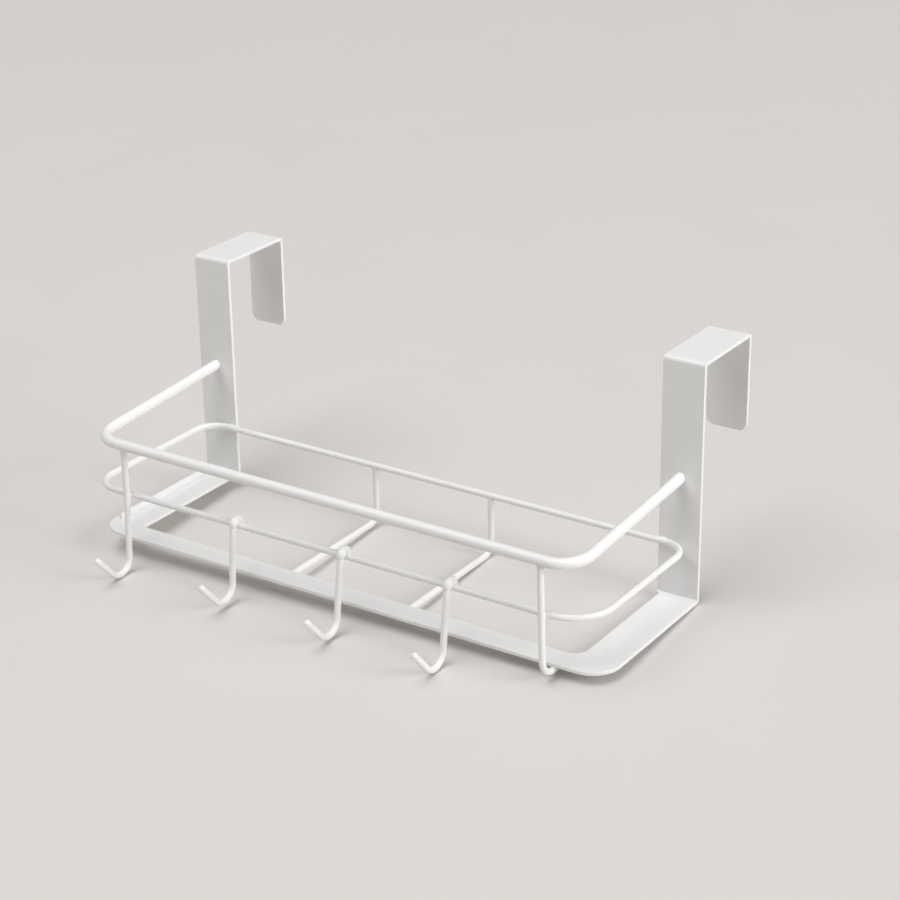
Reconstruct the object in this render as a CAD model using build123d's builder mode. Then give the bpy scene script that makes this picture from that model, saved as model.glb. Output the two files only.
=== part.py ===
"""Over-door bag holder: a folded sheet frame that hooks over a door, with a rod rail and a wire basket.

Millimetres. X runs along the door, +Y points from the room into the door, and +Z is up. The origin is the
middle of the door's top edge, under the two hooks.
"""
import os
from math import cos, radians, sin, tan

from build123d import *

# Folded sheet frame
overall_width = 275.0
sheet = 1.6
bend_inside = 0.4
strap_width = 20.0
door_gap = 40.0
drop = 111.4  # from the door's top edge to the underside of the base
lip_length = 44.4  # from the door's top edge to the lower end of a lip
lip_corner = 4.0
base_depth = 82.0  # from the straps' front faces to the base's front edge
arm_width = 18.0
front_bar_width = 11.5
outer_corner = 14.0
inner_corner_left = 1.5
inner_corner_right = 7.0
root_length = 1.0  # flat stretch of each strap before its first fold
flare_length = 1.0  # where an arm widens to its strap
edge_round = 0.15  # on the sheet's cut edges, under the coating

# Rod rail and wire ring, with heights above the underside of the base
rail_diameter = 5.0
rail_front_height = 52.5
rail_rear_height = 58.5
rail_corner = 13.0
rail_end_round = 0.6  # where the rod is dressed before it is welded on
wire = 3.0
ring_height = 27.0
ring_inset = 4.5  # from the frame's side to the centre of the ring's side run
ring_overhang = 5.0  # from the base's front edge to the centre of the ring's front run
ring_left_corner = 13.0  # at the front
ring_right_corner = 19.0  # at the front
ring_rear_corner = 11.0

# Wires that hang from the rail and the ring
left_hook_x = -48.3  # places of the front hooks, which are bent and welded by hand
middle_hook_x = 10.7
right_hook_x = 65.9
left_hook_lean = 5.0  # forward of upright, in degrees
middle_hook_lean = 8.0
right_hook_lean = 7.5
hook_drop = 7.6  # lowest point of the front hooks below the base
hook_radius = 6.9
tip_angle = 48.5
tip_length = 15.2
wrap_start = 30.0  # where a front hook's end lies behind the top of the ring, in degrees from level
end_hook_inset = 27.4  # from the frame's side to the centre of the end hook
end_hook_lean = 3.0  # below the ring; above it the end hook is upright
end_hook_drop = 10.9  # lowest point of the end hook below the base
sway_radius = 60.0  # of the slight bend where the end hook's lean starts
post_inset = 25.9  # from the frame's side to the top of the end post
post_splay = 1.3  # how far the post's lower end stands out to the side
post_foot = 8.0  # how far the post reaches under the front bar
wire_end_round = 1.0

# Wires of the floor
floor_pitch = 64.5
floor_offset = -0.8  # of the pair from the frame's centre
floor_radius = 6.0
floor_foot = 8.0  # how far a floor wire reaches under the front bar
arm_wire_inset = 4.0  # from the frame's side
arm_wire_front = 13.0  # from the base's front edge
arm_wire_rear = 4.0  # from the strap's front face

# Places that follow from the sizes
half_width = overall_width / 2
strap_front = -door_gap / 2 - sheet
base_bottom = -drop
base_top = base_bottom + sheet
base_front = strap_front - base_depth
bar_back = base_front + front_bar_width
root = strap_front - root_length
rail_x = half_width - strap_width / 2
ring_x = half_width - ring_inset
ring_front = base_front - ring_overhang
ring_rear = strap_front - wire / 2
ring_z = base_bottom + ring_height
hang_y = ring_front - wire
rail_front_z = base_bottom + rail_front_height
rail_rear_z = base_bottom + rail_rear_height
under_z = base_bottom - wire / 2
end_hook_x = end_hook_inset - half_width
post_top_x = half_width - post_inset
post_foot_x = post_top_x + post_splay
post_radius = base_front - hang_y  # so that the bend ends where the bar begins

os.makedirs("parts", exist_ok=True)


def save(piece, name):
    """Names a finished piece and writes its file."""
    piece.label = name
    export_step(piece, f"parts/{name}.step")


def square_to(route):
    """Gives the plane across the start of a rod's or wire's route."""
    return Plane(route.line @ 0, z_dir=route.line % 0)


def cut_edges(sheet_part):
    """Finds the edges where two faces meet at an angle, and leaves out those where one runs into the next."""
    faces = sheet_part.faces()
    found = ShapeList()
    for edge in sheet_part.edges():
        beside = [face for face in faces if any(edge.is_same(side) for side in face.edges())]
        first, second = [face.normal_at(edge @ 0.5) for face in beside]
        if first.get_angle(second) > 45:
            found.append(edge)
    return found


def draw_hook(shank_top, lean, drop_below):
    """Draws a hook: its straight shank from the top down, the J that curls forward, and the tip."""
    slope = radians(lean)
    bend_centre_z = base_bottom - drop_below + wire / 2 + hook_radius
    bend_start_z = bend_centre_z - hook_radius * sin(slope)
    bend_start_y = shank_top.Y - (shank_top.Z - bend_start_z) * tan(slope)
    bend_centre = (bend_start_y - hook_radius * cos(slope), bend_centre_z)
    bend = CenterArc(bend_centre, hook_radius, -lean, lean - 90 - tip_angle)
    Line(shank_top, bend @ 0)
    PolarLine(bend @ 1, tip_length, direction=bend % 1)


# Folded sheet frame: the flat base first, then a folded strap on each side
with BuildPart() as door_frame:
    with BuildSketch(Plane.XY.offset(base_bottom)):
        with BuildLine():
            outside = FilletPolyline(
                (-half_width, root),
                (-half_width, base_front),
                (half_width, base_front),
                (half_width, root),
                radius=outer_corner,
            )
            Line(outside @ 1, outside @ 0)
        make_face()
        arm_x = half_width - arm_width
        strap_x = half_width - strap_width
        with BuildLine():
            left_edge = Polyline(
                (-strap_x, root),
                (-arm_x, root - flare_length),
                (-arm_x, bar_back + inner_corner_left),
            )
            left_corner = RadiusArc(
                left_edge @ 1, (-arm_x + inner_corner_left, bar_back), -inner_corner_left
            )
            bar_edge = Line(left_corner @ 1, (arm_x - inner_corner_right, bar_back))
            right_corner = RadiusArc(
                bar_edge @ 1, (arm_x, bar_back + inner_corner_right), -inner_corner_right
            )
            right_edge = Polyline(
                right_corner @ 1,
                (arm_x, root - flare_length),
                (strap_x, root),
            )
            Line(right_edge @ 1, left_edge @ 0)
        make_face(mode=Mode.SUBTRACT)
    extrude(amount=sheet)
    for strap_start in (-half_width, half_width - strap_width):
        with BuildSketch(Plane.YZ.offset(strap_start)):
            with BuildLine():
                FilletPolyline(
                    (root, base_bottom + sheet / 2),
                    (strap_front + sheet / 2, base_bottom + sheet / 2),
                    (strap_front + sheet / 2, sheet / 2),
                    (door_gap / 2 + sheet / 2, sheet / 2),
                    (door_gap / 2 + sheet / 2, -lip_length),
                    radius=bend_inside + sheet / 2,
                )
            trace(line_width=sheet)
        extrude(amount=strap_width)
    lip_edges = door_frame.edges().filter_by(Axis.Y)
    fillet(lip_edges.filter_by_position(Axis.Z, -lip_length - 0.01, -lip_length + 0.01), radius=lip_corner)
    fillet(cut_edges(door_frame.part), radius=edge_round)
save(door_frame.part, "door_frame")

# Rod rail: a U that rises to the straps and is cut flush where it meets them
with BuildPart() as top_rail:
    rail_end = strap_front + sheet / 2
    rail_end_z = rail_rear_z + (rail_rear_z - rail_front_z) / (strap_front - hang_y) * sheet / 2
    with BuildLine() as rail_route:
        FilletPolyline(
            (-rail_x, rail_end, rail_end_z),
            (-rail_x, hang_y, rail_front_z),
            (rail_x, hang_y, rail_front_z),
            (rail_x, rail_end, rail_end_z),
            radius=rail_corner,
        )
    with BuildSketch(square_to(rail_route)):
        Circle(rail_diameter / 2)
    sweep()
    add(door_frame.part, mode=Mode.SUBTRACT)
    fillet(top_rail.faces().filter_by(Axis.Y).edges(), radius=rail_end_round)
save(top_rail.part, "top_rail")

# Wire ring round the basket: level, with its rear run on the straps' front faces
with BuildPart() as middle_rail:
    with BuildLine(Plane.XY.offset(ring_z)) as ring_route:
        front_run = Line(
            (-ring_x + ring_left_corner, ring_front),
            (ring_x - ring_right_corner, ring_front),
        )
        turn_right = JernArc(front_run @ 1, front_run % 1, ring_right_corner, 90)
        right_run = Line(turn_right @ 1, (ring_x, ring_rear - ring_rear_corner))
        turn_back = JernArc(right_run @ 1, right_run % 1, ring_rear_corner, 90)
        rear_run = Line(turn_back @ 1, (-ring_x + ring_rear_corner, ring_rear))
        turn_left = JernArc(rear_run @ 1, rear_run % 1, ring_rear_corner, 90)
        left_run = Line(turn_left @ 1, (-ring_x, ring_front + ring_left_corner))
        JernArc(left_run @ 1, left_run % 1, ring_left_corner, 90)
    with BuildSketch(square_to(ring_route)):
        Circle(wire / 2)
    sweep()
save(middle_rail.part, "middle_rail")

# End hook on the left: straight down from the rail to the ring's front, then leaning forward
with BuildPart() as left_end_hook:
    with BuildLine(Plane.YZ.offset(end_hook_x)) as end_hook_route:
        sway = CenterArc((hang_y - sway_radius, ring_z), sway_radius, 0, -end_hook_lean)
        Line((hang_y, rail_front_z), sway @ 0)
        draw_hook(sway @ 1, end_hook_lean, end_hook_drop)
    with BuildSketch(square_to(end_hook_route)):
        Circle(wire / 2)
    sweep()
    add(top_rail.part, mode=Mode.SUBTRACT)
    fillet(left_end_hook.faces().filter_by(GeomType.PLANE).edges(), radius=wire_end_round)
save(left_end_hook.part, "left_end_hook")

# Front hooks: each wraps over the ring's front run
hook_places = {
    "front_hook_left": (left_hook_x, left_hook_lean),
    "front_hook_middle": (middle_hook_x, middle_hook_lean),
    "front_hook_right": (right_hook_x, right_hook_lean),
}
for hook_name, (hook_x, hook_lean) in hook_places.items():
    with BuildPart() as front_hook:
        with BuildLine(Plane.YZ.offset(hook_x)) as hook_route:
            wrap = CenterArc((ring_front, ring_z), wire, wrap_start, 180 - hook_lean - wrap_start)
            draw_hook(wrap @ 1, hook_lean, hook_drop)
        with BuildSketch(square_to(hook_route)):
            Circle(wire / 2)
        sweep()
        fillet(front_hook.faces().filter_by(GeomType.PLANE).edges(), radius=wire_end_round)
    save(front_hook.part, hook_name)

# End post on the right: from under the rail, past the front of the ring, then back under the front bar
with BuildPart() as right_end_post:
    with BuildLine() as post_route:
        FilletPolyline(
            (post_top_x, hang_y, rail_front_z),
            (post_foot_x, hang_y, under_z),
            (post_foot_x, base_front + post_foot, under_z),
            radius=post_radius,
        )
    with BuildSketch(square_to(post_route)):
        Circle(wire / 2)
    sweep()
    add(top_rail.part, mode=Mode.SUBTRACT)
    fillet(right_end_post.faces().filter_by(GeomType.PLANE).edges(), radius=wire_end_round)
save(right_end_post.part, "right_end_post")

# Floor wires: from under the front bar to the back, then up to the underside of the ring's rear run
floor_places = {
    "floor_wire_left": floor_offset - floor_pitch / 2,
    "floor_wire_right": floor_offset + floor_pitch / 2,
}
for floor_name, floor_x in floor_places.items():
    with BuildPart() as floor_wire:
        with BuildLine(Plane.YZ.offset(floor_x)) as floor_route:
            FilletPolyline(
                (bar_back - floor_foot, under_z),
                (ring_rear, under_z),
                (ring_rear, ring_z),
                radius=floor_radius,
            )
        with BuildSketch(square_to(floor_route)):
            Circle(wire / 2)
        sweep()
        add(middle_rail.part, mode=Mode.SUBTRACT)
        fillet(floor_wire.faces().filter_by(GeomType.PLANE).edges(), radius=wire_end_round)
    save(floor_wire.part, floor_name)

# Short wire along the top of the left arm
with BuildPart() as left_arm_wire:
    with BuildSketch(Plane.XZ.offset(-base_front - arm_wire_front)):
        with Locations((-half_width + arm_wire_inset, base_top + wire / 2)):
            Circle(wire / 2)
    extrude(amount=-(base_depth - arm_wire_front - arm_wire_rear))
    fillet(left_arm_wire.faces().filter_by(GeomType.PLANE).edges(), radius=wire_end_round)
save(left_arm_wire.part, "left_arm_wire")
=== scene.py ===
# %% [markdown]
# # Over-door bag holder
#
# A white holder that hangs on a door: one folded sheet of steel carries a thick rod rail and a basket of
# thin wire. The shapes come from the CAD model, which is loaded as a fixed frame. This lesson gives it the
# coating, the welds that hold the wires, a floor, soft light and a camera, so that it looks like the real
# one. All lengths are in metres.

# %% Load the frame
import math

import bmesh
import bpy
from mathutils import Matrix, Vector, noise


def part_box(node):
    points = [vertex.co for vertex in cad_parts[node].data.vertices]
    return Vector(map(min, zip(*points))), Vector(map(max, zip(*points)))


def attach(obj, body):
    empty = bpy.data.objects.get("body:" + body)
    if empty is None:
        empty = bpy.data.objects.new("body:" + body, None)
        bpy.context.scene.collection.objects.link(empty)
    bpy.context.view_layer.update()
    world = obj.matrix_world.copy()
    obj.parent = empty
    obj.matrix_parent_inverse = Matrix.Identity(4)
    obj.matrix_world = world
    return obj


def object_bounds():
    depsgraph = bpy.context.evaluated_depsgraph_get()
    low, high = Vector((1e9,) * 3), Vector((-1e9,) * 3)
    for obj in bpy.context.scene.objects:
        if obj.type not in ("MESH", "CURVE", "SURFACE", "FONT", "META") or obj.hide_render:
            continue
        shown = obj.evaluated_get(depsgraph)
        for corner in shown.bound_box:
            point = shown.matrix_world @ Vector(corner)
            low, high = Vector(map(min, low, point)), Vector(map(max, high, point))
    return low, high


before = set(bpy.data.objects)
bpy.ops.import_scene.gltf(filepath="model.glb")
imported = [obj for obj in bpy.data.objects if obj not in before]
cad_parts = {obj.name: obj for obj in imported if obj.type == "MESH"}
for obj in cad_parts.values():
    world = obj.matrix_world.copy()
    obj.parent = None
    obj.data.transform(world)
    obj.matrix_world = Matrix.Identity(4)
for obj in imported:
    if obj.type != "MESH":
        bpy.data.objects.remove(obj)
cad_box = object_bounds()
print("CAD nodes:", sorted(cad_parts))

# %% [markdown]
# ## The powder coat
#
# Powder is sprayed on dry and melted in an oven. It flows into a skin that is smooth to the hand but not
# flat: up close it has a fine orange peel, and its gloss wanders a little with the thickness of the skin. A
# painted picture of that would need an image, so noise textures make it instead. They are read in object
# space, in metres, which keeps the peel the same size on a wide strap and on a thin wire.

# %% Helpers for shader nodes
NOISE_LOW = 0.3
NOISE_HIGH = 0.7


def new_material(name):
    """Makes a material and gives back the material, its node tree and its surface shader."""
    material = bpy.data.materials.new(name)
    material.use_nodes = True
    tree = material.node_tree
    return material, tree, tree.nodes["Principled BSDF"]


def add_noise(tree, place, scale, detail):
    """Adds a noise texture that is read in object space."""
    texture = tree.nodes.new("ShaderNodeTexNoise")
    texture.inputs["Scale"].default_value = scale
    texture.inputs["Detail"].default_value = detail
    tree.links.new(place.outputs["Object"], texture.inputs["Vector"])
    return texture


def add_range(tree, texture, low, high):
    """Turns the greys that a noise texture mostly has into numbers from low to high."""
    node = tree.nodes.new("ShaderNodeMapRange")
    node.inputs["From Min"].default_value = NOISE_LOW
    node.inputs["From Max"].default_value = NOISE_HIGH
    node.inputs["To Min"].default_value = low
    node.inputs["To Max"].default_value = high
    tree.links.new(texture.outputs["Fac"], node.inputs["Value"])
    return node


def add_tint(tree, texture, first, second):
    """Mixes two near colours by a noise texture."""
    node = tree.nodes.new("ShaderNodeMix")
    node.data_type = "RGBA"
    node.inputs["A"].default_value = (*first, 1)
    node.inputs["B"].default_value = (*second, 1)
    tree.links.new(texture.outputs["Fac"], node.inputs["Factor"])
    return node


def add_bump(tree, height, distance, strength, below=None):
    """Adds a bump, on top of another one if that is given."""
    node = tree.nodes.new("ShaderNodeBump")
    node.inputs["Distance"].default_value = distance
    node.inputs["Strength"].default_value = strength
    tree.links.new(height.outputs["Fac"], node.inputs["Height"])
    if below:
        tree.links.new(below.outputs["Normal"], node.inputs["Normal"])
    return node


# %% Powder coat for the sheet and for the wire
THIN_COAT = (0.845, 0.845, 0.84)
THICK_COAT = (0.875, 0.875, 0.873)
THICKNESS_SCALE = 34
GLOSS_SCALE = 120
SMOOTHEST = 0.36
ROUGHEST = 0.46
PEEL_STRENGTH = 0.35
GRAIN_STRENGTH = 0.3
GRAIN_FINER = 4
GRAIN_SHALLOWER = 6


def powder_coat(name, peel_scale, peel_depth):
    """Makes the white satin coat, with an orange peel of the given scale per metre and depth in metres."""
    material, tree, surface = new_material(name)
    place = tree.nodes.new("ShaderNodeTexCoord")
    thickness = add_noise(tree, place, THICKNESS_SCALE, detail=3)
    tint = add_tint(tree, thickness, THIN_COAT, THICK_COAT)
    tree.links.new(tint.outputs["Result"], surface.inputs["Base Color"])
    gloss = add_noise(tree, place, GLOSS_SCALE, detail=2)
    roughness = add_range(tree, gloss, SMOOTHEST, ROUGHEST)
    tree.links.new(roughness.outputs["Result"], surface.inputs["Roughness"])
    peel_noise = add_noise(tree, place, peel_scale, detail=2)
    peel = add_bump(tree, peel_noise, peel_depth, PEEL_STRENGTH)
    grain_noise = add_noise(tree, place, peel_scale * GRAIN_FINER, detail=1)
    grain = add_bump(tree, grain_noise, peel_depth / GRAIN_SHALLOWER, GRAIN_STRENGTH, below=peel)
    tree.links.new(grain.outputs["Normal"], surface.inputs["Normal"])
    return material


sheet_coat = powder_coat("sheet_coat", peel_scale=700, peel_depth=0.00005)
wire_coat = powder_coat("wire_coat", peel_scale=900, peel_depth=0.00004)
for name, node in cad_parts.items():
    for slot in node.material_slots:
        slot.material = sheet_coat if name == "door_frame" else wire_coat
print("coated", len(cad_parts), "nodes")

# %% [markdown]
# ## Where the wires meet
#
# Every wire is welded where it touches another piece, and the coat rounds the joint off, so a wire seems
# to grow out of the rail. In CAD the pieces only touch. The welds could be cut out of a remeshed union,
# but that would throw away the clean wires. Small closed meshes that sit in the grooves are enough.
# Their places are read from the CAD boxes, so they follow the model.

# %% Measure the joints
RAIL_RADIUS = 0.0025
ring_low, ring_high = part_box("middle_rail")
wire_radius = (ring_high.z - ring_low.z) / 2
ring_x = ring_high.x - wire_radius
ring_front = ring_low.y + wire_radius
ring_rear = ring_high.y - wire_radius
ring_z = (ring_high.z + ring_low.z) / 2
strap_front = ring_high.y
rail_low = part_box("top_rail")[0]
rail_front = rail_low.y + RAIL_RADIUS
rail_z = rail_low.z + RAIL_RADIUS
frame_low, frame_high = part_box("door_frame")
half_width = frame_high.x
base_front = frame_low.y
base_bottom = frame_low.z
print("wire", round(wire_radius * 2000, 2), "mm, ring at", round(ring_z * 1000, 1), "mm")


def middle_x(node):
    """Gives the X of a wire that lies in one upright plane."""
    low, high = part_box(node)
    return (low.x + high.x) / 2


def post_x(height):
    """Gives the X of the end post, which stands out to the side a little towards its foot."""
    low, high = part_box("right_end_post")
    share = (rail_z - height) / (rail_z - low.z - wire_radius)
    return low.x + wire_radius + share * (high.x - low.x - 2 * wire_radius)


# %% Helper that closes a row of rings into a mesh
welds = []


def add_weld(name, rings, loop=False):
    """Skins rings of points into a closed mesh. A loop joins its last ring to its first, without caps."""
    mesh = bmesh.new()
    rows = [[mesh.verts.new(point) for point in ring] for ring in rings]
    count = len(rows[0])
    following = rows[1:] + rows[:1] if loop else rows[1:]
    for first, second in zip(rows, following):
        for i in range(count):
            j = (i + 1) % count
            mesh.faces.new((first[i], first[j], second[j], second[i]))
    if not loop:
        mesh.faces.new(list(reversed(rows[0])))
        mesh.faces.new(rows[-1])
    bmesh.ops.recalc_face_normals(mesh, faces=mesh.faces)
    for face in mesh.faces:
        face.smooth = True
    data = bpy.data.meshes.new(name)
    mesh.to_mesh(data)
    mesh.free()
    piece = bpy.data.objects.new(name, data)
    bpy.context.scene.collection.objects.link(piece)
    data.materials.append(wire_coat)
    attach(piece, "root")
    welds.append(piece)


# %% [markdown]
# A wire that lies along a surface leaves a groove on each side of it. A weld fills both: in section it is
# bounded by two hollow arcs that touch the wire and the surface. The same section follows a straight line
# where a wire lies on the sheet, and a part of a circle where a hook wraps over the ring. It thins out
# towards both ends, and its width wanders a little, as a weld's does.

# %% Groove welds
GROOVE_STEPS = 5
HIDDEN = 0.0003
WELD_START = 0.08
WELD_TAPER = 0.7
WANDER = 0.12
WANDER_SCALE = 900


def groove_section(fillet):
    """Gives the closed section of a weld in both grooves, as (sideways, up) from the line of touch."""
    reach = 2 * math.sqrt(wire_radius * fillet)
    start = math.atan2(reach, fillet - wire_radius)
    side = []
    for step in range(GROOVE_STEPS + 1):
        angle = start * (1 - step / GROOVE_STEPS)
        side.append((reach - fillet * math.sin(angle), fillet - fillet * math.cos(angle)))
    buried = [(reach - HIDDEN, -HIDDEN), (HIDDEN - reach, -HIDDEN)]
    other = [(-x, y) for x, y in reversed(side)]
    top_x, top_y = side[0]
    return side + buried + other + [(HIDDEN - top_x, top_y + HIDDEN), (top_x - HIDDEN, top_y + HIDDEN)]


def add_groove_weld(name, place, fillet, stations=15):
    """Adds a weld along place(part), which gives a point on the line of touch, its side and its up."""
    rings = []
    for station in range(stations):
        part = station / (stations - 1)
        wave = WELD_START + (1 - 2 * WELD_START) * part
        swell = math.sin(math.pi * wave) ** WELD_TAPER
        origin, side, up = place(part)
        width = 1 + WANDER * noise.noise(origin * WANDER_SCALE)
        section = groove_section(fillet * swell * width)
        rings.append([origin + side * x + up * y for x, y in section])
    add_weld(name, rings)


# %% Welds of the hooks on the ring
HOOKS = ("front_hook_left", "front_hook_middle", "front_hook_right")
SIDEWAYS = Vector((1, 0, 0))
WRAP_BACK = math.radians(36)
WRAP_FRONT = math.radians(178)
WRAP_FILLET = 0.00055


def round_ring(angle):
    """Gives the direction out of the ring's front run at an angle from straight back, over the top."""
    return Vector((0, math.cos(angle), math.sin(angle)))


def wrapped(x):
    """Gives the place function of a hook's wrap over the ring, from behind its top to its front."""
    def place(part):
        up = round_ring(WRAP_BACK + (WRAP_FRONT - WRAP_BACK) * part)
        return Vector((x, ring_front, ring_z)) + up * wire_radius, SIDEWAYS, up
    return place


for hook in HOOKS:
    add_groove_weld(f"weld_{hook}", wrapped(middle_x(hook)), WRAP_FILLET, stations=21)
print("welds so far:", len(welds))

# %% Straight groove welds on the sheet
SHEET = 0.0016
STRAP_WIDTH = 0.020
FRONT_BAR = 0.0115
FOOT = 0.008
RING_REAR_CORNER = 0.011
WELD_MARGIN = 0.0008
STRAP_FILLET = 0.00045
FOOT_FILLET = 0.0004
ARM_FILLET = 0.00035
base_top = base_bottom + SHEET
bar_back = base_front + FRONT_BAR
foot_weld = FOOT - WELD_MARGIN
strap_inner = half_width - STRAP_WIDTH
ring_straight = ring_x - RING_REAR_CORNER - WELD_MARGIN / 2


def straight(first, last, up):
    """Gives the place function of a straight line of touch."""
    first, last, up = Vector(first), Vector(last), Vector(up)
    side = (last - first).normalized().cross(up)
    return lambda part: (first.lerp(last, part), side, up)


def under_sheet(x, first_y, last_y):
    """Gives the place function of a wire that runs back along the underside of the base."""
    return straight((x, first_y, base_bottom), (x, last_y, base_bottom), (0, 0, -1))


for side, sign in (("left", -1), ("right", 1)):
    line = straight(
        (sign * (strap_inner + WELD_MARGIN), strap_front, ring_z),
        (sign * ring_straight, strap_front, ring_z),
        (0, -1, 0),
    )
    add_groove_weld(f"weld_ring_{side}", line, STRAP_FILLET)
    line = under_sheet(middle_x(f"floor_wire_{side}"), bar_back - foot_weld, bar_back - WELD_MARGIN)
    add_groove_weld(f"weld_floor_{side}", line, FOOT_FILLET)
line = under_sheet(post_x(base_bottom), base_front + WELD_MARGIN, base_front + foot_weld)
add_groove_weld("weld_post_foot", line, FOOT_FILLET)
arm_x = middle_x("left_arm_wire")
arm_low, arm_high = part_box("left_arm_wire")
arm_end = Vector((arm_x, arm_low.y + WELD_MARGIN, base_top))
line = straight(arm_end, (arm_x, arm_high.y - WELD_MARGIN, base_top), (0, 0, 1))
add_groove_weld("weld_arm_wire", line, ARM_FILLET, stations=60)
print("welds so far:", len(welds))

# %% [markdown]
# Where a wire ends on the side of a rod, the weld is a collar: a hollow fillet that runs round the wire
# and lies on the rod's curved side. A plain ring would cut into the rod or stand off it. Here each point
# of the collar is found by going round the wire, so it bends over the rod like a saddle. On a wire of
# the same size as the rod the collar shrinks to almost nothing at the sides.

# %% Collars
COLLAR_TURNS = 48
COLLAR_STEPS = 6
COLLAR_WIDTH = 0.0005
THINNEST_COLLAR = 0.00006
COLLAR_SEAT = 0.8


def add_collar(name, centre, rod_radius):
    """Adds the collar of a wire that hangs down from a rod along X, with its centre on the rod's axis."""
    rings = []
    for turn in range(COLLAR_TURNS):
        angle = 2 * math.pi * turn / COLLAR_TURNS
        along, across = math.cos(angle), math.sin(angle)

        def drop(reach):
            return math.sqrt(max(rod_radius**2 - (reach * across) ** 2, 0))

        share = 1 - (wire_radius / rod_radius * across) ** 2
        fillet = max(COLLAR_WIDTH * share, THINNEST_COLLAR)
        section = []
        for step in range(COLLAR_STEPS + 1):
            bend = math.pi / 2 * step / COLLAR_STEPS
            reach = wire_radius + fillet * (1 - math.cos(bend))
            section.append((reach, drop(reach) + fillet * (1 - math.sin(bend))))
        inner = wire_radius - HIDDEN
        top = drop(wire_radius)
        section.append((wire_radius + fillet * COLLAR_SEAT, drop(wire_radius + fillet) - HIDDEN))
        section.append((inner, top - HIDDEN))
        section.append((inner, top + fillet))
        rings.append([centre + Vector((reach * along, reach * across, -down)) for reach, down in section])
    add_weld(name, rings, loop=True)


end_wires = {"left_end_hook": middle_x("left_end_hook"), "right_end_post": post_x(rail_z)}
for node, x in end_wires.items():
    add_collar(f"weld_{node}_top", Vector((x, rail_front, rail_z)), RAIL_RADIUS)
for node in ("floor_wire_left", "floor_wire_right"):
    add_collar(f"weld_{node}_top", Vector((middle_x(node), ring_rear, ring_z)), wire_radius)
print("welds so far:", len(welds))

# %% [markdown]
# The end hook and the end post cross the front of the ring and touch it at one point. There the weld is a
# nugget: a waist between the two wires. Going round the point of touch, it reaches out to where the gap
# between the wires has opened to a set width. That reach has no short formula, so it is found by halving.

# %% Nuggets
NUGGET_TURNS = 40
NUGGET_STEPS = 6
NUGGET_GAP = 0.0013
NUGGET_WAIST = 0.0003
NUGGET_CORE = 0.35
NUGGET_CORE_DEPTH = 0.6
FURTHEST_REACH = 1.4 * wire_radius
HALVINGS = 30


def gap_at(offset):
    """Gives how far a wire's side has curved away at an offset from its line of touch."""
    return wire_radius - math.sqrt(max(wire_radius**2 - offset**2, 0))


def nugget_reach(angle):
    """Finds the distance from the point of touch at which the gap between the two wires is wide enough."""
    near, far = 0.0, FURTHEST_REACH
    for _ in range(HALVINGS):
        reach = (near + far) / 2
        if gap_at(reach * math.cos(angle)) + gap_at(reach * math.sin(angle)) < NUGGET_GAP:
            near = reach
        else:
            far = reach
    return near


def add_nugget(name, touch):
    """Adds the weld between an upright wire and the ring behind it, round their point of touch."""
    rings = []
    for turn in range(NUGGET_TURNS):
        angle = 2 * math.pi * turn / NUGGET_TURNS
        reach = nugget_reach(angle)
        ring_side = -gap_at(reach * math.sin(angle))
        wire_side = gap_at(reach * math.cos(angle))
        section = []
        for step in range(NUGGET_STEPS + 1):
            part = step / NUGGET_STEPS
            out = reach - NUGGET_WAIST * 4 * part * (1 - part)
            section.append((out, ring_side + (wire_side - ring_side) * part))
        section.append((reach * NUGGET_CORE, wire_side * NUGGET_CORE_DEPTH + HIDDEN))
        section.append((reach * NUGGET_CORE, ring_side * NUGGET_CORE_DEPTH - HIDDEN))
        spoke = Vector((math.cos(angle), 0, math.sin(angle)))
        rings.append([touch + spoke * out + Vector((0, -depth, 0)) for out, depth in section])
    add_weld(name, rings, loop=True)


crossings = {"left_end_hook": middle_x("left_end_hook"), "right_end_post": post_x(ring_z)}
for node, x in crossings.items():
    add_nugget(f"weld_{node}_ring", Vector((x, ring_front - wire_radius, ring_z)))
print("welds so far:", len(welds))

# %% [markdown]
# A hook's wire swells where it turns over the ring, because the coat gathers there and leaves a round
# knob. It could be a ball, but a ball sits on a wire like a berry. Here the wire's own section grows
# along the turn instead: it is thickest on the front shoulder and shrinks back to the wire at both ends.

# %% Knobs
KNOB_TURNS = 28
KNOB_STATIONS = 25
KNOB_FRONT = math.radians(186)
KNOB_BACK = math.radians(80)
KNOB_SWELL = 0.0008
KNOB_SINK = 0.00005
KNOB_SKEW = 0.83
KNOB_TAPER = 1.4


def add_knob(name, x):
    """Adds the swelling of a hook's wire on its turn over the ring. The skew moves its middle forward."""
    rings = []
    for station in range(KNOB_STATIONS):
        part = station / (KNOB_STATIONS - 1)
        out = round_ring(KNOB_FRONT + (KNOB_BACK - KNOB_FRONT) * part)
        centre = Vector((x, ring_front, ring_z)) + out * (2 * wire_radius)
        swell = max(math.sin(math.pi * part**KNOB_SKEW), 0) ** KNOB_TAPER
        radius = wire_radius - KNOB_SINK + KNOB_SWELL * swell
        ring = []
        for turn in range(KNOB_TURNS):
            bearing = 2 * math.pi * turn / KNOB_TURNS
            ring.append(centre + (SIDEWAYS * math.cos(bearing) + out * math.sin(bearing)) * radius)
        rings.append(ring)
    add_weld(name, rings)


for hook in HOOKS:
    add_knob(f"knob_{hook}", middle_x(hook))
print("welds so far:", len(welds))

# %% [markdown]
# A hook's cut end lies behind the top of the ring, and the strip of wire on the left arm stops short of
# the corner. Both ends are closed by a bead of weld that has run down on to what carries them, which
# rounds them off. A bead is an egg: a row of rings across its long axis. Its two poles are cut off a
# little, so that the first and the last ring are not points.

# %% Beads
BEAD_TURNS = 24
BEAD_RINGS = 13
POLE_CUT = 0.03


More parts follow.
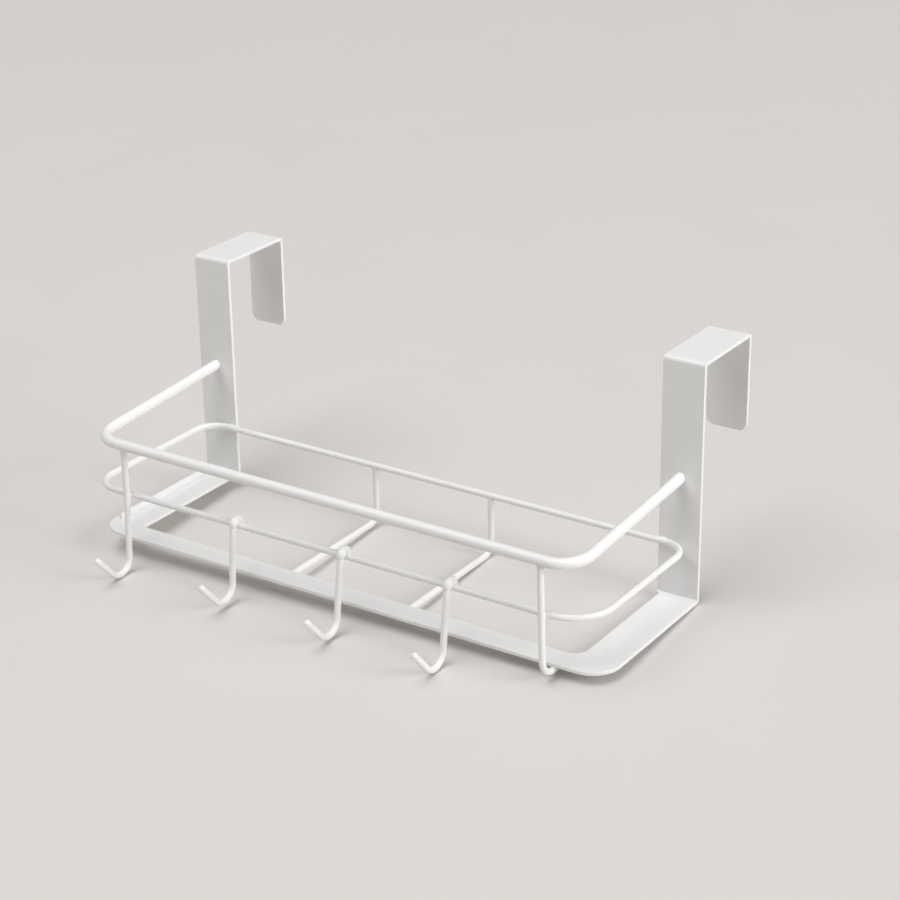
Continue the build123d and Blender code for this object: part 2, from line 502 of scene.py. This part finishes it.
def add_bead(name, centre, along, up, half_sizes, buried):
    """Adds an egg-shaped weld. Its underside is flat where it goes deeper than buried below its centre."""
    length, width, height = half_sizes
    across = along.cross(up)
    rings = []
    for step in range(BEAD_RINGS):
        polar = math.pi * (POLE_CUT + (1 - 2 * POLE_CUT) * step / (BEAD_RINGS - 1))
        middle = centre - along * (length * math.cos(polar))
        ring = []
        for turn in range(BEAD_TURNS):
            angle = 2 * math.pi * turn / BEAD_TURNS
            aside = width * math.sin(polar) * math.cos(angle)
            rise = max(height * math.sin(polar) * math.sin(angle), -buried)
            ring.append(middle + across * aside + up * rise)
        rings.append(ring)
    add_weld(name, rings)


END_ANGLE = math.radians(20)
END_SIZES = (0.0020, 0.00165, 0.0016)
END_SEAT = 0.0011
ring_out = round_ring(END_ANGLE)
ring_down = round_ring(END_ANGLE - math.pi / 2)
for hook in HOOKS:
    hook_end = Vector((middle_x(hook), ring_front, ring_z)) + ring_out * (wire_radius + END_SEAT)
    add_bead(f"bead_{hook}", hook_end, ring_down, ring_out, END_SIZES, END_SIZES[2])
ARM_END_SIZES = (0.0020, 0.0017, 0.0028)
add_bead("bead_arm_wire", arm_end, Vector((0, 1, 0)), Vector((0, 0, 1)), ARM_END_SIZES, HIDDEN)
print("welds in all:", len(welds))

# %% [markdown]
# ## The floor
#
# Left to itself the holder stands on three points: the long end hook, the right front hook and the bend
# of the right floor wire. So the surface under it is not level with its base. Its tilt could be typed
# in, but here it is worked out: find the lowest point of each of the three wires, lay a plane through
# them, look for the lowest points along that plane's normal, and repeat. The surface is a pale, warm
# board with a faint mottle, so wide that its edge is out of sight.

# %% Floor
STANDS_ON = ("left_end_hook", "front_hook_right", "floor_wire_right")
REPEATS = 6
FLOOR_SIZE = 40.0
MOTTLE_SCALE = 14
DARKER_BOARD = (0.685, 0.655, 0.625)
PALER_BOARD = (0.71, 0.68, 0.65)
BOARD_ROUGHNESS = 0.75
floor_up = Vector((0, 0, 1))
for _ in range(REPEATS):
    feet = [
        min((vertex.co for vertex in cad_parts[node].data.vertices), key=floor_up.dot)
        for node in STANDS_ON
    ]
    floor_up = (feet[1] - feet[0]).cross(feet[2] - feet[0]).normalized()
bpy.ops.mesh.primitive_plane_add(size=FLOOR_SIZE, location=feet[0])
floor = bpy.context.object
floor.name = "floor"
floor.rotation_euler = floor_up.to_track_quat("Z", "Y").to_euler()
board, tree, surface = new_material("warm_board")
place = tree.nodes.new("ShaderNodeTexCoord")
mottle = add_noise(tree, place, MOTTLE_SCALE, detail=5)
tint = add_tint(tree, mottle, DARKER_BOARD, PALER_BOARD)
tree.links.new(tint.outputs["Result"], surface.inputs["Base Color"])
surface.inputs["Roughness"].default_value = BOARD_ROUGHNESS
floor.data.materials.append(board)
print("floor tilt", round(math.degrees(floor_up.angle(Vector((0, 0, 1)))), 2), "degrees")

# %% [markdown]
# ## Light
#
# The photograph has one large soft light overhead, a little in front and on the left, which makes the
# flat tops bright. A second one stands low on the right and brightens every edge that faces it. Both could
# be small and near, but then the floor would fade to grey close behind the holder, so they are large and
# far away. A pale room is all round, and the world stands for it. It could be one flat colour, but then
# light would creep in under the base from all sides and wash its shadow out, so the room is brighter
# overhead than at the level of the floor.

# %% Lamps
object_centre = (cad_box[0] + cad_box[1]) / 2


def add_softbox(name, direction, distance, size, level):
    """Adds a square lamp. A white surface that faces it is lit to the given level."""
    lamp = bpy.data.lights.new(name, "AREA")
    lamp.shape = "SQUARE"
    lamp.size = size
    lamp.energy = level * math.pi**2 * distance**2
    holder = bpy.data.objects.new(name, lamp)
    holder.location = object_centre + Vector(direction).normalized() * distance
    holder.rotation_euler = Vector(direction).to_track_quat("Z", "Y").to_euler()
    bpy.context.scene.collection.objects.link(holder)
    print(name, round(lamp.energy, 1), "W")


add_softbox("top_softbox", direction=(-0.18, -0.30, 0.93), distance=7.8, size=6.0, level=0.7)
add_softbox("right_softbox", direction=(0.93, 0.04, 0.36), distance=8.4, size=4.2, level=0.71)

# %% Room
ROOM_TINT = (1.0, 0.995, 0.985)
LOW_ROOM = 0.07
HIGH_ROOM = 0.34
world = bpy.data.worlds.new("pale_room")
bpy.context.scene.world = world
world.use_nodes = True
tree = world.node_tree
room = tree.nodes["Background"]
room.inputs["Color"].default_value = (*ROOM_TINT, 1)
direction = tree.nodes.new("ShaderNodeTexCoord")
parts = tree.nodes.new("ShaderNodeSeparateXYZ")
tree.links.new(direction.outputs["Generated"], parts.inputs["Vector"])
rise = tree.nodes.new("ShaderNodeMapRange")
rise.inputs["To Min"].default_value = LOW_ROOM
rise.inputs["To Max"].default_value = HIGH_ROOM
tree.links.new(parts.outputs["Z"], rise.inputs["Value"])
tree.links.new(rise.outputs["Result"], room.inputs["Strength"])
bpy.context.scene.view_settings.view_transform = "Standard"
print("room light from", LOW_ROOM, "at the floor's level to", HIGH_ROOM, "overhead")

# %% [markdown]
# ## Camera
#
# The camera was worked out from the straight edges of the frame in the photograph: their directions and
# lengths fix where it stands, which way it points and how long its lens is.

# %% Camera
CAMERA_PLACE = Vector((0.53980, -0.81705, 0.35044))
CAMERA_RIGHT = Vector((0.83455, 0.55078, -0.01297))
CAMERA_UP = Vector((-0.21056, 0.34063, 0.91632))
LENS_PIXELS = 2272.0
PHOTO_PIXELS = 900
camera = bpy.data.objects.new("camera", bpy.data.cameras.new("camera"))
bpy.context.scene.collection.objects.link(camera)
camera.data.sensor_width = 36
camera.data.lens = LENS_PIXELS * camera.data.sensor_width / PHOTO_PIXELS
camera.data.clip_start = 0.01
axes = Matrix((CAMERA_RIGHT, CAMERA_UP, CAMERA_RIGHT.cross(CAMERA_UP))).transposed()
camera.matrix_world = Matrix.Translation(CAMERA_PLACE) @ axes.to_4x4()
bpy.context.scene.camera = camera
print("lens", round(camera.data.lens, 1), "mm")
